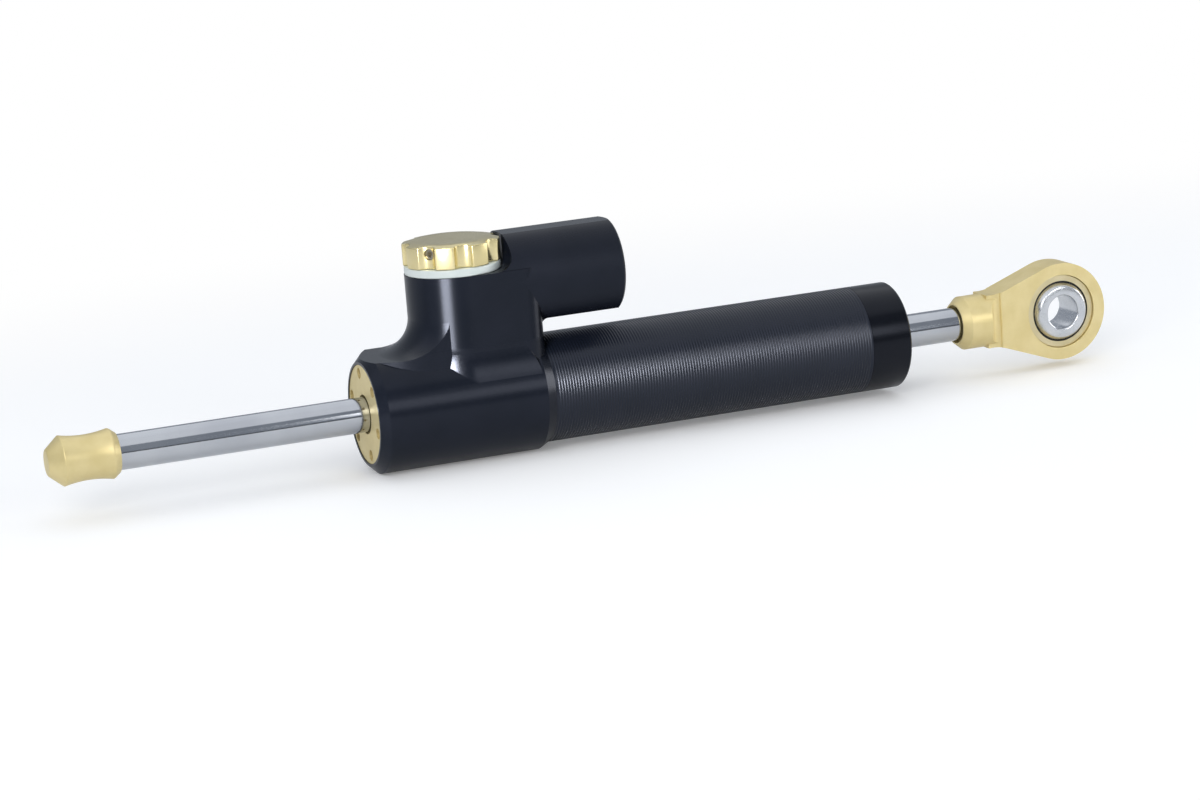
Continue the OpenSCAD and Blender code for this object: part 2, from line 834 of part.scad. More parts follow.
// Eye: half its outline, with X from the centre and Y as height
module eye_outline() {
    touch = [-eye_r * sin(flank_angle), eye_r * cos(flank_angle)];
    corner = [touch[0] - (touch[1] - boss_r) / tan(flank_angle), boss_r];
    run = flank_blend * tan(flank_angle / 2);
    start = -face_run - neck_blend;
    circle(r = eye_r, $fn = 120);
    for (side = [0, 1]) mirror([0, side]) {
        polygon([[0, 0], touch, corner, [start, boss_r], [start, 0]]);
        difference() {
            polygon([
                [start, boss_r - over],
                [start, boss_r],
                corner + [run * cos(flank_angle), run * sin(flank_angle)],
                corner + [run * cos(flank_angle), run * sin(flank_angle) - over]]);
            translate([corner[0] - run, boss_r + flank_blend]) circle(r = flank_blend, $fn = 120);
        }
    }
}

// Plan of the flat head, with round edges where its left end stands proud of the neck
module face_plan() {
    edge = eye_t / 2 - neck_half;
    translate([edge - face_run, -eye_t / 2]) square([face_run + eye_r, eye_t]);
    translate([-face_run, -neck_half]) square([edge + over, 2 * neck_half]);
    for (side = [-1, 1]) translate([edge - face_run, side * neck_half]) circle(r = edge);
}

// Eye housing: turned boss, necked down and carried into the flat head
module rod_eye() {
    head_cut = eye_r + over;
    color("#d8c78b") translate([eye_x, 0, 0]) difference() {
        union() {
            intersection() {
                rotate([90, 0, 0]) linear_extrude(height = eye_t, center = true) eye_outline();
                linear_extrude(height = 2 * head_cut, center = true) face_plan();
            }
            rotate([90, 0, 0]) linear_extrude(height = 2 * neck_half, center = true) eye_outline();
            difference() {
                turned([
                    [-eye_reach, 0],
                    [-eye_reach, boss_r - boss_cone[1]],
                    [boss_cone[0] - eye_reach, boss_r],
                    [-face_run, boss_r],
                    [-face_run, 0]]);
                for (side = [0, 1]) mirror([0, side, 0])
                    translate([0, -neck_half - neck_blend, -head_cut]) {
                        translate([-face_run, 0, 0]) cylinder(h = 2 * head_cut, r = neck_blend);
                        translate([-face_run, -neck_blend, 0]) cube([head_cut, 2 * neck_blend, 2 * head_cut]);
                    }
            }
        }
        rotate([90, 0, 0]) cylinder(h = eye_t + 2 * over, r = race_r + fit_gap, center = true);
        rod_x(-eye_reach - over, boss_counter - eye_reach, rod_r + counter_gap);
        rod_x(-eye_reach, boss_counter + boss_thread + slack - eye_reach, right_thread_r + fit_gap);
    }
}

// Turns an outline of points [radius, place] about the eye's bolt axis
module turned_eye() {
    translate([eye_x, 0, 0]) rotate([90, 0, 0]) rotate_extrude($fn = 120) children();
}

// Band of the outline between two widths, clear of the bolt axis
module eye_band(r_in, r_out, width) {
    translate([r_in, -width / 2]) square([r_out - r_in, width]);
}

module bearing_race() {
    color("#c9b48a") turned_eye() difference() {
        eye_band(rod_r, race_r, race_w);
        circle(r = race_in, $fn = 120);
    }
}

module bearing_liner() {
    color("#202020") turned_eye() difference() {
        intersection() {
            circle(r = liner_out, $fn = 120);
            eye_band(rod_r, race_r, race_w - liner_sink);
        }
        circle(r = liner_in, $fn = 120);
    }
}

module bearing_ball() {
    color("#c2c6cc") turned_eye() intersection() {
        circle(r = ball_r, $fn = 120);
        eye_band(eye_bore_d / 2, race_r, ball_w);
    }
}

// Outline of the knob: a round with a hollow between each two lobes
module knob_plan() {
    difference() {
        circle(r = knob_r, $fn = 120);
        for (k = [0:lobe_count - 1])
            rotate(k * 360 / lobe_count)
                translate([knob_r - scallop_depth + scallop_r, 0]) circle(r = scallop_r, $fn = 48);
    }
}

// Turns its children so that +X points through the hollow that holds the screw
module at_screw() {
    translate([tower_axis, 0, knob_z]) rotate([0, 0, -90 - screw_turn]) children();
}

// Space under the knob's top, which slopes down towards the rim
module crown_limit() {
    translate([tower_axis, 0, knob_z]) rotate_extrude() polygon([
        [0, -over],
        [knob_r + over, -over],
        [knob_r + over, knob_h - crown_drop * (1 + over / crown_width)],
        [knob_r - crown_width, knob_h],
        [0, knob_h]]);
}

module adjuster_knob() {
    track_half = detent_ball_r + track_gap;
    track_depth = dimple_depth + 2 * slack;
    dimple_r = 0.6 * detent_ball_r;
    color("#d8c78b") difference() {
        intersection() {
            at_screw() linear_extrude(height = knob_h + over) knob_plan();
            crown_limit();
        }
        post_z(knob_z - over, spindle_top + spindle_room, spindle_r + fit_gap);
        sleeve_z(knob_z - over, knob_z + track_depth, detent_r + track_half, detent_r - track_half);
        for (k = [0:detent_count - 1])
            translate([tower_axis, 0, knob_z]) rotate(k * 360 / detent_count - 90)
                translate([detent_r, 0, 0]) cylinder(h = track_depth + dimple_spare, r = dimple_r, $fn = 24);
        at_screw() translate([0, 0, screw_rise]) rod_x(0, knob_r + over, screw_r + fit_gap);
    }
}

// Grub screw with a hex socket, which clamps the knob to the spindle
module knob_screw() {
    socket_depth = 1.5;
    screw_sink = 0.3;
    screw_end = knob_r - scallop_depth - screw_sink;
    color("#b9bcc0") at_screw() translate([0, 0, screw_rise]) difference() {
        rod_x(spindle_r + slack, screw_end, screw_r);
        translate([screw_end - socket_depth, 0, 0]) rotate([0, 90, 0])
            cylinder(h = socket_depth + over, r = 0.6 * screw_r, $fn = 6);
    }
}

module adjuster_spindle() {
    color("#b9bcc0") union() {
        post_z(stud_low, stud_top + over, stud_r);
        post_z(stud_top, flange_top, flange_r);
        post_z(flange_top - over, spindle_top, spindle_r);
    }
}

module index_ring() {
    color("#e4e8e6") sleeve_z(deck_z, deck_z + ring_h, ring_r, valve_cap_r + fit_gap);
}

// Depths of the valve cap's two O-ring grooves below the deck
cap_groove_depth = 3;
stem_groove_depth = 5;
cap_groove_z = deck_z - cap_groove_depth;
stem_groove_z = deck_z - stem_groove_depth;

// Groove for an O-ring round the tower's axis
module stem_groove(z, r_out, r_in) {
    sleeve_z(z - groove_half, z + groove_half, r_out, r_in);
}

module valve_cap() {
    stem_r = spindle_r + run_gap;
    color("#5c6066") difference() {
        sleeve_z(cap_low, cap_top, valve_cap_r, stem_r);
        stem_groove(cap_groove_z, valve_cap_r + over, valve_cap_r - oring_cord);
        stem_groove(stem_groove_z, stem_r + oring_cord, spindle_r);
        translate([tower_axis, -detent_r, spring_low])
            cylinder(h = knob_z - spring_low, r = detent_ball_r + run_gap, $fn = 32);
    }
}

// Ring of round cord about the tower's axis, turned at radius r
module cord_ring_z(z, r) {
    translate([tower_axis, 0, z]) rotate_extrude() translate([r, 0]) circle(d = oring_cord, $fn = 32);
}

module valve_cap_oring() {
    color("#161616") cord_ring_z(cap_groove_z, valve_cap_r - oring_cord / 2);
}

module spindle_oring() {
    color("#161616") cord_ring_z(stem_groove_z, spindle_r + run_gap + oring_cord / 2);
}

// Needle: keyed by its two flats, so that it climbs the spindle's stud when the knob turns
module valve_needle() {
    color("#c2a35a") difference() {
        union() {
            intersection() {
                post_z(needle_low, needle_top, needle_r);
                translate([tower_axis - needle_r, -needle_flat, needle_low])
                    cube([2 * needle_r, 2 * needle_flat, needle_top - needle_low]);
            }
            translate([tower_axis, 0, tip_low])
                cylinder(h = needle_low - tip_low, r1 = tip_r, r2 = port_r);
        }
        post_z(stud_low - stud_room, needle_top + over, stud_r + run_gap);
    }
}

module valve_seat() {
    color("#c2a35a") difference() {
        union() {
            post_z(seat_low, seat_top, seat_r);
            post_z(seat_nose_low, seat_low + over, seat_nose_r);
        }
        post_z(seat_nose_low - over, seat_top + over, port_r);
        translate([tower_axis, 0, tip_low])
            cylinder(h = tip_depth + dip, r1 = port_r, r2 = port_r + seat_flare);
    }
}

module detent_ball() {
    color("#c2c6cc") translate([tower_axis, -detent_r, detent_z]) sphere(r = detent_ball_r, $fn = 32);
}

// Spring under the detent ball, as a plain sleeve because it can't be seen
module detent_spring() {
    spring_len = detent_z - detent_ball_r - end_gap - spring_low;
    color("#9aa0a6") translate([tower_axis, -detent_r, spring_low]) difference() {
        cylinder(h = spring_len, r = detent_ball_r - slack, $fn = 32);
        translate([0, 0, -over]) cylinder(h = spring_len + 2 * over, r = 0.6 * detent_ball_r, $fn = 32);
    }
}

// Places the reservoir's pieces on its axis
module at_reservoir() {
    translate([0, 0, res_z]) children();
}
res_fill_r = res_bore_r - fit_gap;

// Groove and O-ring on a piece that fills the reservoir's bore
module res_groove(x) {
    tube_x(x - groove_half, x + groove_half, res_bore_r + over, res_fill_r - oring_cord);
}
module res_oring(x) {
    cord_ring_x(x, res_fill_r - oring_cord / 2);
}
float_oring_x = (float_start + float_end) / 2;
plug_oring_x = (plug_start + plug_end) / 2;

module reservoir_piston() {
    cup_floor = 2;
    cup_wall = oring_cord + 1.4;
    color("#9aa0a6") at_reservoir() difference() {
        rod_x(float_start, float_end, res_fill_r);
        rod_x(float_start + cup_floor, float_end + over, res_fill_r - cup_wall);
        res_groove(float_oring_x);
    }
}

module reservoir_piston_oring() {
    color("#161616") at_reservoir() res_oring(float_oring_x);
}

module reservoir_plug() {
    color("#5c6066") at_reservoir() difference() {
        rod_x(plug_start, plug_end, res_fill_r);
        rod_x(plug_start - over, plug_end + over, fill_r + fit_gap);
        rod_x(plug_end - fill_head_t, plug_end + over, fill_head_r + fit_gap);
        res_groove(plug_oring_x);
    }
}

module reservoir_plug_oring() {
    color("#161616") at_reservoir() res_oring(plug_oring_x);
}

// Open clip that holds the plug in the reservoir
module reservoir_clip() {
    clip_gap = 5;
    clip_depth = 1;
    ring_out = res_bore_r + clip_groove_out - slack;
    color("#7c8086") at_reservoir() difference() {
        tube_x(plug_end, plug_end + clip_groove - slack, ring_out, res_bore_r - clip_depth);
        translate([plug_end - over, -clip_gap / 2, 0]) cube([clip_groove + 2 * over, clip_gap, res_r]);
    }
}

// Screw in the plug, through which the gas is filled
fill_r = 2;
fill_head_r = 3.5;
fill_head_t = 1.5;
fill_socket_r = 1.5;

module fill_screw() {
    color("#b9bcc0") at_reservoir() difference() {
        union() {
            rod_x(plug_start + slack, plug_end, fill_r);
            rod_x(plug_end - fill_head_t, plug_end, fill_head_r);
        }
        rod_x(plug_end - fill_head_t, plug_end + over, fill_socket_r, $fn = 6);
    }
}

head_housing();
barrel_tube();
inner_tube();
end_cap();
gland_cap();
gland_bush();
gland_seal();
gland_wiper();
gland_oring();
end_bush();
end_seal();
end_wiper();
end_oring();
piston_rod();
piston();
piston_band();
piston_clips();
bumper_cap();
rod_eye();
bearing_race();
bearing_liner();
bearing_ball();
adjuster_knob();
knob_screw();
adjuster_spindle();
index_ring();
valve_cap();
valve_cap_oring();
spindle_oring();
valve_needle();
valve_seat();
detent_ball();
detent_spring();
reservoir_piston();
reservoir_piston_oring();
reservoir_plug();
reservoir_plug_oring();
reservoir_clip();
fill_screw();
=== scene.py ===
import json
import math

import bmesh
import bpy
import numpy as np
from mathutils import Matrix, Vector


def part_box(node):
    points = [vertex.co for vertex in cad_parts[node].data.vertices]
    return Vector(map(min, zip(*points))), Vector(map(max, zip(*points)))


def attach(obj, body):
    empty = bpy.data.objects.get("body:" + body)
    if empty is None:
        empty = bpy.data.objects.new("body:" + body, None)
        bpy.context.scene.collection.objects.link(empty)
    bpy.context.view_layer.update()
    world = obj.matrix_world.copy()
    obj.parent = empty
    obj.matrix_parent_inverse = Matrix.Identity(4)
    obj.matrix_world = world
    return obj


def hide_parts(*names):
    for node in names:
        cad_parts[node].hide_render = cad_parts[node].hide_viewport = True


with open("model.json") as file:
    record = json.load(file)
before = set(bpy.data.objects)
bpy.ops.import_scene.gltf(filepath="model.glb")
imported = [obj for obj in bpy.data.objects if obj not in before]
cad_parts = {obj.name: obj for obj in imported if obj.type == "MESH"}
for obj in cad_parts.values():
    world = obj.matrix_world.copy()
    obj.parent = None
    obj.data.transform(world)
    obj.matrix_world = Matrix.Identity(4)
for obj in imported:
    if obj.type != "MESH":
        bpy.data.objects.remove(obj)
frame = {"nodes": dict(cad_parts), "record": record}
nodes = frame["nodes"]
scene = bpy.context.scene
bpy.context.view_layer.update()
mm = 0.001  # metres in a millimetre


# Places that the frame gives, in millimetres
def lowOf(node, axis):
    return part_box(node)[0][axis] / mm


def highOf(node, axis):
    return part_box(node)[1][axis] / mm


mounts = {mount["name"]: mount for mount in frame["record"]["mounts"]}
eyeX = mounts["eye_bore"]["pos_m"][0] / mm
seatHalf = highOf("barrel_tube", 0)
barrelRadius = mounts["clamp_seat"]["dims"]["r_mm"]
towerX = (lowOf("index_ring", 0) + highOf("index_ring", 0)) / 2
origin = (0, 0, 0)
xAxis, yAxis, zAxis = Vector((1, 0, 0)), Vector((0, 1, 0)), Vector((0, 0, 1))

# Making meshes: steps round a turned piece and along a rounded corner, the angle in
# degrees from which an edge counts as sharp, and the distance in metres at which points merge
meshing = {"turnSteps": 160, "arcSteps": 6, "sharpAngle": 35, "mergeWithin": 1e-7}


# Shades a mesh smooth and leaves edges sharper than the given angle sharp
def shadeSmooth(mesh, sharpAngle=meshing["sharpAngle"]):
    mesh.polygons.foreach_set("use_smooth", np.ones(len(mesh.polygons), bool))
    mesh.set_sharp_from_angle(angle=math.radians(sharpAngle))


# Puts points and faces into a mesh of its own: doubles merged, so that seams and poles
# close, faces turned outwards, and shaded smooth
def finishPiece(name, points, faces, sharpAngle=meshing["sharpAngle"]):
    mesh = bpy.data.meshes.new(name)
    mesh.from_pydata((np.asarray(points) * mm).tolist(), [], np.asarray(faces).tolist())
    work = bmesh.new()
    work.from_mesh(mesh)
    bmesh.ops.remove_doubles(work, verts=work.verts, dist=meshing["mergeWithin"])
    bmesh.ops.recalc_face_normals(work, faces=work.faces)
    work.to_mesh(mesh)
    work.free()
    shadeSmooth(mesh, sharpAngle)
    piece = bpy.data.objects.new(name, mesh)
    scene.collection.objects.link(piece)
    return piece


# Quads between the rows and columns of a grid. Columns close on themselves, and rows
# do too where the profile is a loop.
def gridFaces(rows, columns, loop):
    lastRow = rows if loop else rows - 1
    row, column = np.meshgrid(np.arange(lastRow), np.arange(columns), indexing="ij")
    nextRow, nextColumn = (row + 1) % rows, (column + 1) % columns
    corners = (row * columns + column, nextRow * columns + column,
               nextRow * columns + nextColumn, row * columns + nextColumn)
    return np.stack([corner.ravel() for corner in corners], axis=1)


# Rounds the corners of a profile. Each row is (along, out, radius): a corner with a
# radius becomes the arc of that radius which touches both its sides, cut in equal
# angles. The ends of an open profile stay as they are.
def rounded(corners, steps=meshing["arcSteps"], loop=True):
    spots = np.array([corner[:2] for corner in corners], float)
    pieces = []
    for index, corner in enumerate(corners):
        spot, radius = spots[index], corner[2] if len(corner) > 2 else 0
        atEnd = not loop and index in (0, len(corners) - 1)
        if radius <= 0 or atEnd:
            pieces.append(spot[None])
            continue
        back = spots[index - 1] - spot
        ahead = spots[(index + 1) % len(spots)] - spot
        back, ahead = back / np.linalg.norm(back), ahead / np.linalg.norm(ahead)
        half = math.acos(np.clip(back @ ahead, -1, 1)) / 2
        middle = (back + ahead) / np.linalg.norm(back + ahead)
        centre = spot + middle * radius / math.sin(half)
        start = spot + back * radius / math.tan(half) - centre
        stop = spot + ahead * radius / math.tan(half) - centre
        sweep = math.pi - 2 * half
        share = np.linspace(0, 1, steps + 1)[:, None]
        arc = (np.sin((1 - share) * sweep) * start + np.sin(share * sweep) * stop) / math.sin(sweep)
        pieces.append(centre + arc)
    return np.concatenate(pieces)


# Turns a profile of (along, out) about an axis through a centre: a point at angle t is
# centre + along * axis + out * (cos t * side + sin t * up).
def turnedPiece(name, profile, axis, centre, steps=meshing["turnSteps"], loop=True,
                sharpAngle=meshing["sharpAngle"]):
    side = xAxis if abs(axis.z) > 0.5 else zAxis.cross(axis)
    up = axis.cross(side)
    angle = np.linspace(0, 2 * math.pi, steps, endpoint=False)
    ring = np.cos(angle)[:, None] * np.array(side) + np.sin(angle)[:, None] * np.array(up)
    along, out = profile[:, 0, None, None], profile[:, 1, None, None]
    points = np.array(centre) + along * np.array(axis) + out * ring[None]
    return finishPiece(name, points.reshape(-1, 3), gridFaces(len(profile), steps, loop), sharpAngle)


# Materials

# sRGB hex to linear colour
def colour(text):
    parts = np.array([int(text[place:place + 2], 16) for place in (1, 3, 5)]) / 255
    parts = np.where(parts <= 0.04045, parts / 12.92, ((parts + 0.055) / 1.055) ** 2.4)
    return (*parts.tolist(), 1.0)


# Adds a node with its settings, its fixed values and its links
def addNode(tree, kind, values=None, links=None, **settings):
    made = tree.nodes.new(kind)
    for key, value in settings.items():
        setattr(made, key, value)
    for socket, value in (values or {}).items():
        made.inputs[socket].default_value = value
    for socket, source in (links or {}).items():
        tree.links.new(source, made.inputs[socket])
    return made


# How cutting marks end: over this many millimetres below their lowest height, and between
# these two cosines of the angle between a face's normal and the direction across them
markFade = {"below": 1, "fullAt": 0.6, "goneAt": 0.9}


# Fine cutting marks draw a highlight out across them, along a given direction. They start
# above a given height, fade out below it and where a face looks that way, and bring
# their own roughness.
def addMarks(tree, shader, place, rough, marks):
    normal = addNode(tree, "ShaderNodeNewGeometry").outputs["Normal"]
    across = addNode(tree, "ShaderNodeCombineXYZ", dict(zip("XYZ", marks["along"]))).outputs["Vector"]
    facing = addNode(tree, "ShaderNodeVectorMath", links={0: normal, 1: across}, operation="DOT_PRODUCT")
    size = addNode(tree, "ShaderNodeMath", links={0: facing.outputs["Value"]}, operation="ABSOLUTE")
    sideways = addNode(tree, "ShaderNodeMapRange",
                       {"From Min": markFade["goneAt"], "From Max": markFade["fullAt"]},
                       {"Value": size.outputs["Value"]})
    height = addNode(tree, "ShaderNodeSeparateXYZ", links={"Vector": place}).outputs["Z"]
    above = addNode(tree, "ShaderNodeMapRange",
                    {"From Min": (marks["above"] - markFade["below"]) * mm, "From Max": marks["above"] * mm},
                    {"Value": height})
    share = addNode(tree, "ShaderNodeMath",
                    links={0: sideways.outputs["Result"], 1: above.outputs["Result"]},
                    operation="MULTIPLY").outputs["Value"]
    amount = addNode(tree, "ShaderNodeMath", {1: marks["amount"]}, {0: share}, operation="MULTIPLY")
    mixed = addNode(tree, "ShaderNodeMix", {3: marks["rough"]}, {0: share, 2: rough}, data_type="FLOAT")
    tree.links.new(amount.outputs["Value"], shader.inputs["Anisotropic"])
    tree.links.new(across, shader.inputs["Tangent"])
    tree.links.new(mixed.outputs[0], shader.inputs["Roughness"])


# The noise behind every finish: how much detail it has, which part of its range is spread
# over the two colours or the two roughnesses, and the bump's height in grain sizes
noise = {"patchDetail": 3.0, "patchFrom": 0.35, "patchTo": 0.65,
         "grainDetail": 4.0, "grainFrom": 0.3, "grainTo": 0.7, "bumpHeight": 0.2}


# Surface of one finish: two close colours mottled over a patch size, a roughness that
# wanders between two values, and a fine grain as bump. All sizes are in millimetres.
def surface(name, values):
    material = bpy.data.materials.new(name)
    material.use_nodes = True
    tree = material.node_tree
    shader = tree.nodes["Principled BSDF"]
    place = addNode(tree, "ShaderNodeTexCoord").outputs["Object"]
    patchScale, grainScale = 1 / (values["patch"] * mm), 1 / (values["grain"] * mm)
    patch = addNode(tree, "ShaderNodeTexNoise", {"Scale": patchScale, "Detail": noise["patchDetail"]},
                    {"Vector": place}).outputs["Fac"]
    tint = addNode(tree, "ShaderNodeValToRGB", links={"Fac": patch})
    ends = [(noise["patchFrom"], values["dark"]), (noise["patchTo"], values["light"])]
    for element, (position, shade) in zip(tint.color_ramp.elements, ends):
        element.position = position
        element.color = colour(shade)
    tree.links.new(tint.outputs["Color"], shader.inputs["Base Color"])
    stretched = addNode(tree, "ShaderNodeMapping", {"Scale": values.get("stretch", (1, 1, 1))},
                        {"Vector": place})
    grain = addNode(tree, "ShaderNodeTexNoise", {"Scale": grainScale, "Detail": noise["grainDetail"]},
                    {"Vector": stretched.outputs["Vector"]}).outputs["Fac"]
    smoothest, roughest = values["rough"]
    rough = addNode(tree, "ShaderNodeMapRange",
                    {"From Min": noise["grainFrom"], "From Max": noise["grainTo"],
                     "To Min": smoothest, "To Max": roughest}, {"Value": grain}).outputs["Result"]
    tree.links.new(rough, shader.inputs["Roughness"])
    bump = addNode(tree, "ShaderNodeBump",
                   {"Strength": values["bump"], "Distance": values["grain"] * mm * noise["bumpHeight"]},
                   {"Height": grain})
    tree.links.new(bump.outputs["Normal"], shader.inputs["Normal"])
    shader.inputs["Metallic"].default_value = values["metallic"]
    if "tint" in values:
        shader.inputs["Specular Tint"].default_value = colour(values["tint"])
    if "marks" in values:
        addMarks(tree, shader, place, rough, values["marks"])
    if "ior" in values:
        shader.inputs["IOR"].default_value = values["ior"]
    return material


finishes = {
    # Black hard-anodised aluminium with a soft sheen. The tower is milled, with level marks.
    "blackAnodisedAluminium": {
        "dark": "#04060b", "light": "#06080e", "patch": 9, "grain": 0.35, "rough": (0.20, 0.26),
        "bump": 0.03, "metallic": 0.0, "ior": 1.36, "tint": "#dce2f5",
        "marks": {"along": (0, 0, 1), "above": 14, "amount": 0.9, "rough": 0.34}},
    # Black anodised barrel, as turned: the grooves are in its shape, and finer marks run with them
    "blackTurnedAluminium": {
        "dark": "#04060b", "light": "#06080e", "patch": 12, "grain": 0.3, "rough": (0.26, 0.32),
        "bump": 0.03, "metallic": 0.0, "ior": 1.45, "tint": "#dfe4f4",
        "marks": {"along": (1, 0, 0), "above": -20, "amount": 0.4, "rough": 0.28}},
    # Champagne anodised aluminium, bead blasted: it scatters most of its light, so it counts as
    # half metal
    "goldAnodisedAluminium": {
        "dark": "#dac88f", "light": "#e2d19b", "patch": 5, "grain": 0.25, "rough": (0.38, 0.48),
        "bump": 0.10, "metallic": 0.5, "ior": 1.5},
    # The same dye on the knob, turned bright, with the grain drawn out round it
    "goldTurnedAluminium": {
        "dark": "#dccd98", "light": "#e4d6a5", "patch": 5, "grain": 0.22, "rough": (0.20, 0.28),
        "bump": 0.05, "metallic": 0.95, "ior": 1.5, "stretch": (1, 1, 6)},
    # White acetal ring, machined: dull white with a faint green cast
    "whiteAcetal": {
        "dark": "#d3dcd8", "light": "#dde4e1", "patch": 4, "grain": 0.3, "rough": (0.34, 0.44),
        "bump": 0.08, "metallic": 0.0, "ior": 1.48},
    # Hard chrome, ground and polished: fine marks run round the rod, so the grain is drawn out
    # that way
    "hardChrome": {
        "dark": "#b9bcc2", "light": "#c4c7cc", "patch": 14, "grain": 0.4, "rough": (0.08, 0.15),
        "bump": 0.02, "metallic": 1.0, "stretch": (6, 1, 1)},
    # Hardened bearing steel, tumbled to a satin
    "bearingSteel": {
        "dark": "#cfd2d6", "light": "#dbdde1", "patch": 4, "grain": 0.25, "rough": (0.20, 0.30),
        "bump": 0.06, "metallic": 1.0},
    # Pale bearing bronze, machined
    "bearingBronze": {
        "dark": "#d9cba0", "light": "#e2d5ae", "patch": 4, "grain": 0.25, "rough": (0.30, 0.40),
        "bump": 0.08, "metallic": 1.0},
    # Bright steel of screws, clips and springs
    "brightSteel": {
        "dark": "#9da0a5", "light": "#b0b3b8", "patch": 3, "grain": 0.2, "rough": (0.22, 0.34),
        "bump": 0.08, "metallic": 1.0},
    # Dull steel of the knob's screw
    "dullSteel": {
        "dark": "#8a8477", "light": "#9a9486", "patch": 2, "grain": 0.2, "rough": (0.25, 0.35),
        "bump": 0.05, "metallic": 1.0},
    # Bare machined aluminium
    "bareAluminium": {
        "dark": "#a9acb0", "light": "#babdc1", "patch": 6, "grain": 0.3, "rough": (0.28, 0.40),
        "bump": 0.08, "metallic": 1.0},
    # Nitrile rubber, moulded: black and dull
    "nitrileRubber": {
        "dark": "#131313", "light": "#1a1a1a", "patch": 3, "grain": 0.3, "rough": (0.55, 0.70),
        "bump": 0.15, "metallic": 0.0, "ior": 1.52},
    # Filled low-friction polymer of the liner and the piston band
    "bearingPolymer": {
        "dark": "#17181a", "light": "#202124", "patch": 3, "grain": 0.25, "rough": (0.45, 0.60),
        "bump": 0.10, "metallic": 0.0, "ior": 1.4},
}
materials = {name: surface(name, values) for name, values in finishes.items()}

nodeFinish = {
    "blackAnodisedAluminium": ["head_housing", "barrel_tube", "end_cap"],
    "goldAnodisedAluminium": ["gland_cap", "bumper_cap", "rod_eye"],
    "goldTurnedAluminium": ["adjuster_knob"],
    "whiteAcetal": ["index_ring"],
    "hardChrome": ["piston_rod"],
    "bearingSteel": ["bearing_ball", "detent_ball"],
    "bearingBronze": ["bearing_race", "gland_bush", "end_bush", "valve_needle", "valve_seat"],
    "bearingPolymer": ["bearing_liner", "piston_band"],
    "dullSteel": ["knob_screw"],
    "brightSteel": ["adjuster_spindle", "piston_clips", "detent_spring", "reservoir_clip", "fill_screw"],
    "nitrileRubber": ["gland_seal", "gland_wiper", "gland_oring", "end_seal", "end_wiper", "end_oring",
                      "valve_cap_oring", "spindle_oring", "reservoir_piston_oring",
                      "reservoir_plug_oring"],
    "bareAluminium": ["inner_tube", "piston", "reservoir_piston", "reservoir_plug", "valve_cap"],
}


# Gives a piece one finish in place of those it had
def paint(piece, finish):
    piece.data.materials.clear()
    piece.data.materials.append(materials[finish])


for finish, names in nodeFinish.items():
    for node in names:
        paint(nodes[node], finish)
print("materials made:", len(materials))

bodyOf = {node: body for body, members in frame["record"]["behaviour"]["bodies"].items()
          for node in members}


# Gives a new piece its finish and its body, and hides the node that it stands for
def standIn(piece, node, finish):
    paint(piece, finish)
    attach(piece, bodyOf[node])
    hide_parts(node)


# Barrel, with its turned grooves
barrel = {"groovePitch": 0.68, "grooveDepth": 0.12, "perGroove": 6, "boreRadius": 10.3,
          "spigotRadius": 11.45, "endBand": 0.4, "turnSteps": 150, "sharpAngle": 60}


# Outside line of the barrel: its radius less half the groove depth times (1 - cos) of
# the place within the pitch, so that the crests stay at the full radius.
def barrelProfile(values):
    first, last = values["endBand"] - seatHalf, seatHalf - values["endBand"]
    grooves = round((last - first) / values["groovePitch"])
    along = np.linspace(first, last, grooves * values["perGroove"] + 1)
    phase = (along - first) / (last - first) * grooves * 2 * math.pi
    out = barrelRadius - values["grooveDepth"] * (0.5 - 0.5 * np.cos(phase))
    outside = np.stack([along, out], axis=1)
    spigotEnd = lowOf("barrel_tube", 0)
    before = np.array([[spigotEnd, values["boreRadius"]], [spigotEnd, values["spigotRadius"]],
                       [-seatHalf, values["spigotRadius"]], [-seatHalf, barrelRadius]])
    after = np.array([[seatHalf, barrelRadius], [seatHalf, values["boreRadius"]]])
    return np.concatenate([before, outside, after])


barrelPiece = turnedPiece("barrel_grooved", barrelProfile(barrel), xAxis, origin,
                          barrel["turnSteps"], sharpAngle=barrel["sharpAngle"])
standIn(barrelPiece, "barrel_tube", "blackTurnedAluminium")

# End collar
collar = {"chamfer": 0.45, "soft": 0.15, "seamEdge": 0.12, "mouthRadius": 4.5, "mouthSoft": 0.2,
          "mouthDepth": 1.2, "wiperRadius": 6.5, "wiperDepth": 4.25, "rodHole": 4.3,
          "noseRadius": 8.45, "plugRadius": 10.25, "noseLength": 4}
collarEnd = highOf("end_cap", 0)
collarIn = lowOf("end_cap", 0)
collarLoop = rounded([
    (collarIn, collar["rodHole"]),
    (collarIn, collar["noseRadius"]),
    (collarIn + collar["noseLength"], collar["noseRadius"]),
    (collarIn + collar["noseLength"], collar["plugRadius"]),
    (seatHalf, collar["plugRadius"]),
    (seatHalf, barrelRadius - collar["seamEdge"]),
    (seatHalf + collar["seamEdge"], barrelRadius),
    (collarEnd - collar["chamfer"], barrelRadius, collar["soft"]),
    (collarEnd, barrelRadius - collar["chamfer"], collar["soft"]),
    (collarEnd, collar["mouthRadius"], collar["mouthSoft"]),
    (collarEnd - collar["mouthDepth"], collar["mouthRadius"]),
    (collarEnd - collar["mouthDepth"], collar["wiperRadius"]),
    (collarEnd - collar["wiperDepth"], collar["wiperRadius"]),
    (collarEnd - collar["wiperDepth"], collar["rodHole"])])
collarPiece = turnedPiece("end_collar", collarLoop, xAxis, origin)
standIn(collarPiece, "end_cap", "blackAnodisedAluminium")

